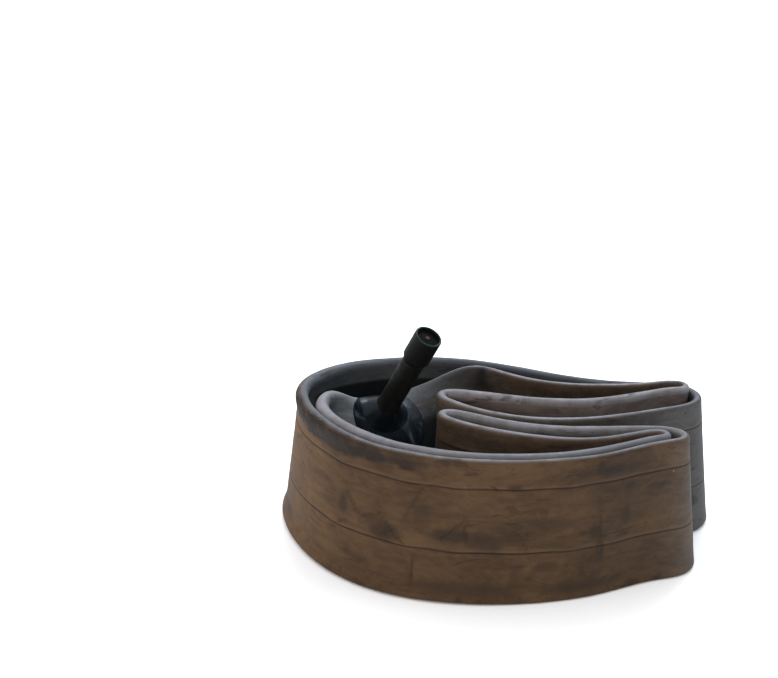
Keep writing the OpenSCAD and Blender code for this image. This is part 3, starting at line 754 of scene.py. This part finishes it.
def tube_rubber():
    """Black rubber under a film of talc: warm brown outside, grey inside, rubbed at the edges, with a
    painted cool blue-grey highlight along their crests.

    The talc is thin or gone where the skin's attributes say so. They also place painted shade in the moulded
    lines, the creases and the recesses round the valve, and a painted highlight on the lips above the
    moulded lines.
    """
    m = Nodes("tube_rubber")
    marks = m.attribute("marks")
    face, across, line_groove_shade = m.split(marks.outputs["Color"])
    crease = marks.outputs["Alpha"]
    smudge, lip_highlight, painted_shade = m.split(m.attribute("wear_and_painted_light").outputs["Color"])
    inner_talc, warmth_and_light_tint, half_tone_and_painted_light = m.split(m.attribute("look").outputs["Color"])
    strip = m.attribute("strip").outputs["Vector"]

    cloud = m.noise(m.scaled(strip, (1, 1, 1.7)), 36, 5, 0.62, 0.8)
    patchy = m.noise(m.scaled(strip, (1, 1, 1.9)), 105, 6, 0.66, 1.6)
    streak = m.noise(m.scaled(strip, (1, 1, 9)), 55, 5, 0.6, 0.3)
    fine_streak = m.noise(m.scaled(strip, (1, 1, 22)), 150, 3, 0.5)
    speck = m.noise(strip, 1100, 2, 0.7)
    rub = m.noise(m.scaled(strip, (1, 1, 0.45)), 170, 4, 0.6, 0.6)

    talc = m.math("ADD", m.math("MULTIPLY", cloud, 0.50), m.math("MULTIPLY", patchy, 0.32))
    talc = m.math("ADD", talc, m.math("MULTIPLY", streak, 0.16))
    talc = m.math("ADD", talc, m.math("MULTIPLY", fine_streak, 0.10))
    talc = m.ramp(talc, 0.38, 0.72)
    brown = m.mix(talc, (0.037, 0.0205, 0.0100), (0.096, 0.0565, 0.0285))
    grey = m.mix(talc, (0.039, 0.042, 0.044), (0.089, 0.094, 0.099))
    # brightness and tint along the route are partly painted light
    outer = m.times(m.mix(warmth_and_light_tint, grey, brown), m.math("MULTIPLY", half_tone_and_painted_light, 2.0))
    bare = m.mix(talc, (0.040, 0.050, 0.056), (0.078, 0.090, 0.096))
    dusty = m.mix(talc, (0.074, 0.060, 0.055), (0.150, 0.122, 0.115))
    inner = m.mix(inner_talc, bare, dusty)
    is_inner = m.ramp(face, 0.35, 0.75)
    colour = m.mix(is_inner, outer, inner)
    # painted highlight: a lighter line on the raised lip above each moulded line
    colour = m.mix(m.math("MULTIPLY", lip_highlight, 0.25), colour, (0.13, 0.085, 0.055))
    # the rounded edges are rubbed, and painted blue-grey as a cool highlight along their crests, brighter
    # where more talc is left
    on_edge = m.math("MAXIMUM", m.ramp(across, 0.958, 0.996), m.ramp(across, 0.04, 0.0))
    on_edge = m.math("MULTIPLY", on_edge, m.ramp(face, 0.05, 0.4))
    edge = m.math("MULTIPLY", on_edge, m.ramp(rub, 0.35, 0.65, 0.55, 0.95))
    colour = m.mix(edge, colour, m.mix(inner_talc, (0.060, 0.068, 0.082), (0.190, 0.188, 0.204)))
    # dark marks: handling smudges, and rubber showing through where the talc is thin
    stray = m.ramp(m.noise(m.scaled(strip, (1, 1, 3.0)), 62, 6, 0.66, 1.2), 0.56, 0.68)
    dark = m.math("MAXIMUM", smudge, m.math("MULTIPLY", stray, 0.6))
    dark = m.math("MULTIPLY", dark, m.ramp(patchy, 0.3, 0.6, 0.55, 1.0))
    colour = m.mix(m.math("MULTIPLY", dark, 1.12, True), colour, (0.018, 0.0120, 0.0090))
    # painted shade in the grooves of the moulded lines
    line_groove_shade = m.math("MULTIPLY", line_groove_shade, m.ramp(streak, 0.3, 0.6, 0.65, 1.0))
    colour = m.mix(line_groove_shade, colour, (0.010, 0.005, 0.003))
    # painted shade in the creases
    colour = m.mix(m.math("MULTIPLY", crease, 0.65), colour, (0.016, 0.009, 0.006))
    # painted shade, near black, in the recesses round the valve and in the fold at the peak
    colour = m.mix(m.math("MULTIPLY", painted_shade, 0.9), colour, (0.0050, 0.0062, 0.0072))
    flecks = m.ramp(m.noise(strip, 300, 1, 0.5), 0.835, 0.86)
    colour = m.mix(m.math("MULTIPLY", flecks, 0.5), colour, (0.4, 0.37, 0.34))

    rough = m.math("ADD", m.ramp(talc, 0, 1, 0.56, 0.74), m.math("MULTIPLY", speck, 0.08))
    rough = m.math("SUBTRACT", rough, m.math("MULTIPLY", on_edge, 0.14))
    height = m.math("ADD", m.math("MULTIPLY", cloud, 0.8), m.math("MULTIPLY", patchy, 0.35))
    normal = m.bump(height, 0.0006)
    fine = m.math("ADD", m.math("MULTIPLY", speck, 0.7), m.math("MULTIPLY", fine_streak, 0.8))
    normal = m.bump(fine, 0.00006, 1.0, normal)
    m.set(Base_Color=colour, Roughness=rough, Normal=normal,
          Specular_IOR_Level=m.ramp(painted_shade, 0, 1, 0.15, 0.05))
    return m.material


def patch_rubber():
    """Fresh moulded rubber, blue-black and slightly glossy, with a few dull handling marks."""
    m = Nodes("patch_rubber")
    at = m.place()
    cloud = m.noise(at, 120, 4, 0.55, 0.4)
    fine = m.noise(at, 1400, 2, 0.6)
    dust = m.ramp(m.noise(at, 260, 4, 0.65, 0.8), 0.52, 0.75)
    colour = m.mix(cloud, (0.0026, 0.0030, 0.0038), (0.0050, 0.0072, 0.0100))
    colour = m.mix(m.math("MULTIPLY", dust, 0.12), colour, (0.040, 0.038, 0.038))
    rough = m.math("ADD", m.ramp(cloud, 0.3, 0.7, 0.27, 0.38), m.math("MULTIPLY", dust, 0.2))
    normal = m.bump(cloud, 0.0005)
    normal = m.bump(fine, 0.00003, 1.0, normal)
    m.set(Base_Color=colour, Roughness=rough, Normal=normal, Specular_IOR_Level=0.13,
          Specular_Tint=(0.65, 0.88, 1.0), Coat_Weight=0.08, Coat_Roughness=0.12, Coat_Tint=(0.7, 0.9, 1.0))
    return m.material


def black_rubber(name, low, high, rough=(0.42, 0.6), coarse=300.0, depth=0.00012):
    """Moulded black rubber or plastic with a fine cast texture."""
    m = Nodes(name)
    at = m.place()
    cloud = m.noise(at, coarse, 4, 0.6, 0.5)
    fine = m.noise(at, 2600, 2, 0.6)
    wipe = m.ramp(m.noise(at, coarse * 0.45, 3, 0.5, 1.5), 0.45, 0.7)
    m.set(Base_Color=m.mix(wipe, low, high),
          Roughness=m.math("ADD", m.ramp(cloud, 0.3, 0.7, *rough), m.math("MULTIPLY", fine, 0.05)),
          Normal=m.bump(fine, 0.00003, 1.0, m.bump(cloud, depth)), Specular_IOR_Level=0.16)
    return m.material


def metal(name, low, high, rough=(0.24, 0.42), turned=True):
    """Turned or drawn metal: fine rings round the stem's axis and a light tarnish."""
    m = Nodes(name)
    at = m.place()
    turn = m.add("ShaderNodeVectorRotate", rotation_type="EULER_XYZ", invert=True)
    m.feed(turn.inputs["Vector"], at)
    turn.inputs["Rotation"].default_value = (0, STEM_TILT, STEM_HEADING)
    rings = m.noise(m.scaled(turn.outputs[0], (1, 1, 40) if turned else (6, 6, 1)), 420, 3, 0.6)
    tarnish = m.ramp(m.noise(at, 500, 4, 0.6, 0.8), 0.35, 0.7)
    m.set(Base_Color=m.mix(tarnish, high, low), Metallic=1.0,
          Roughness=m.math("ADD", m.ramp(tarnish, 0, 1, *rough), m.math("MULTIPLY", rings, 0.08)),
          Normal=m.bump(rings, 0.00002))
    return m.material


def cap_plastic():
    """Black plastic with a faint green cast, more polished on the dished top, with painted highlights on its
    rim and on the stub of its gate.
    """
    m = Nodes("cap_plastic")
    at = m.place()
    fine = m.noise(at, 2200, 2, 0.6)
    cloud = m.noise(at, 350, 4, 0.6, 0.6)
    # metres from the stem's axis, and up it from just under the rim: for the painted green highlight on the
    # rim, the brownish middle of the dished top, and the painted highlight on the stub in it
    offset = m.vector_math("SUBTRACT", at, STEM @ (Vector((0, 0, CAP_TOP_MM - 0.5)) * MM)).outputs[0]
    cross = m.vector_math("CROSS_PRODUCT", offset, AXIS).outputs[0]
    length = m.add("ShaderNodeVectorMath", operation="LENGTH")
    m.feed(length.inputs[0], cross)
    away = length.outputs["Value"]
    up = m.vector_math("DOT_PRODUCT", offset, AXIS).outputs["Value"]
    top = m.ramp(up, -0.0012, -0.0009)
    rim = m.math("MULTIPLY", m.ramp(away, 0.0040, 0.0043), m.ramp(up, 0.0, 0.0003))
    middle = m.math("MULTIPLY", m.ramp(away, 0.0042, 0.0040), top)
    stub = m.math("MULTIPLY", m.ramp(away, 0.0010, 0.0007), top)
    colour = m.mix(cloud, (0.0018, 0.0024, 0.0020), (0.0048, 0.0060, 0.0048))
    # painted highlight: a green line round the rim
    colour = m.mix(m.math("MULTIPLY", rim, 0.8), colour, (0.003, 0.020, 0.013))
    colour = m.mix(middle, colour, (0.0030, 0.0022, 0.0016))
    # painted highlight on the stub of the gate
    colour = m.mix(stub, colour, (0.060, 0.040, 0.034))
    rough = m.math("SUBTRACT", m.ramp(cloud, 0.3, 0.7, 0.48, 0.60), m.math("MULTIPLY", rim, 0.2))
    m.set(Base_Color=colour, Roughness=rough, Normal=m.bump(fine, 0.00003, 1.0, m.bump(cloud, 0.00008)),
          Specular_IOR_Level=m.ramp(middle, 0, 1, 0.10, 0.02))
    return m.material


# ---------------------------------------------------------------- floor and light
def make_floor(half=12.0):
    """White floor, half a side long in metres each way from the middle."""
    mesh = bpy.data.meshes.new("floor")
    mesh.from_pydata([(-half, -half, 0), (half, -half, 0), (half, half, 0), (-half, half, 0)], [],
                     [(0, 1, 2, 3)])
    floor = bpy.data.objects.new("floor", mesh)
    bpy.context.scene.collection.objects.link(floor)
    m = Nodes("floor")
    tint = m.noise(m.place(), 6, 2, 0.5)
    m.set(Base_Color=m.mix(tint, (0.93, 0.93, 0.93), (0.96, 0.96, 0.96)), Roughness=0.9,
          Specular_IOR_Level=0.1)
    mesh.materials.append(m.material)


def area_light(name, place, target, size, power, colour):
    data = bpy.data.lights.new(name, "AREA")
    data.shape = "RECTANGLE"
    data.size, data.size_y = size
    data.energy, data.color = power, colour
    light = bpy.data.objects.new(name, data)
    light.location = place
    light.rotation_mode = "QUATERNION"
    light.rotation_quaternion = (Vector(target) - Vector(place)).to_track_quat("-Z", "Y")
    bpy.context.scene.collection.objects.link(light)


def make_light():
    """A white studio: soft cool light from above, weaker warm light from the front left."""
    scene = bpy.context.scene
    scene.view_settings.view_transform = "Standard"
    world = bpy.data.worlds.new("studio")
    scene.world = world
    world.use_nodes = True
    back = world.node_tree.nodes["Background"]
    back.inputs["Color"].default_value = (0.97, 0.985, 1.0, 1)
    back.inputs["Strength"].default_value = 0.38
    data = bpy.data.lights.new("sky_soft", "SUN")
    data.energy, data.angle, data.color = 3.0, math.radians(110), (0.93, 0.96, 1.0)
    sun = bpy.data.objects.new("sky_soft", data)
    sun.rotation_euler = (math.radians(-16), math.radians(-6), 0)
    scene.collection.objects.link(sun)
    middle = (0, 0, 0.03)
    area_light("front_soft", (-0.75, -1.0, 0.45), middle, (0.8, 0.5), 6.0, (1.0, 0.80, 0.62))
    area_light("back_soft", (0.15, 0.75, 0.95), middle, (0.7, 0.4), 11, (0.80, 0.88, 1.0))
    area_light("side_soft", (1.1, -0.1, 0.5), middle, (0.5, 0.4), 2.8, (0.86, 0.95, 1.0))


# ---------------------------------------------------------------- the scene
make_camera()
make_floor()
make_light()

RUBBER = tube_rubber()
PATCH = patch_rubber()
STEM_RUBBER = black_rubber("stem_rubber", (0.0030, 0.0038, 0.0032), (0.0070, 0.0080, 0.0068),
                           (0.48, 0.62))
CAP = cap_plastic()
INSERT_BRASS = metal("insert_brass", (0.27, 0.19, 0.085), (0.50, 0.37, 0.17))
CORE_BRASS = metal("core_brass", (0.32, 0.24, 0.11), (0.56, 0.44, 0.22))
PIN_STEEL = metal("pin_steel", (0.42, 0.41, 0.38), (0.62, 0.61, 0.58), (0.2, 0.35), False)
SPRING_STEEL = metal("spring_steel", (0.36, 0.37, 0.39), (0.58, 0.59, 0.61), (0.22, 0.36), False)
GASKET_RED = black_rubber("gasket_red", (0.22, 0.018, 0.012), (0.34, 0.035, 0.022))
SEAL_BLACK = black_rubber("seal_black", (0.010, 0.010, 0.010), (0.024, 0.023, 0.022))

tube = build_tube(RUBBER)
build_patch(tube, PATCH)
build_stem(STEM_RUBBER)
build_tip(INSERT_BRASS)
build_cap(CAP)
build_spring(SPRING_STEEL)

# The valve's inner pieces are shown as their CAD solids
FINISHES = {
    "core_plug": CORE_BRASS, "core_barrel": CORE_BRASS, "pin_collar": CORE_BRASS, "core_cup": CORE_BRASS,
    "barrel_gasket": GASKET_RED, "core_pin": PIN_STEEL, "cup_seal": SEAL_BLACK, "cap_seal": SEAL_BLACK,
}
for node, finish in FINISHES.items():
    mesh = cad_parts[node].data
    mesh.materials.clear()
    mesh.materials.append(finish)
    mesh.shade_smooth()
    mesh.set_sharp_from_angle(angle=math.radians(32))
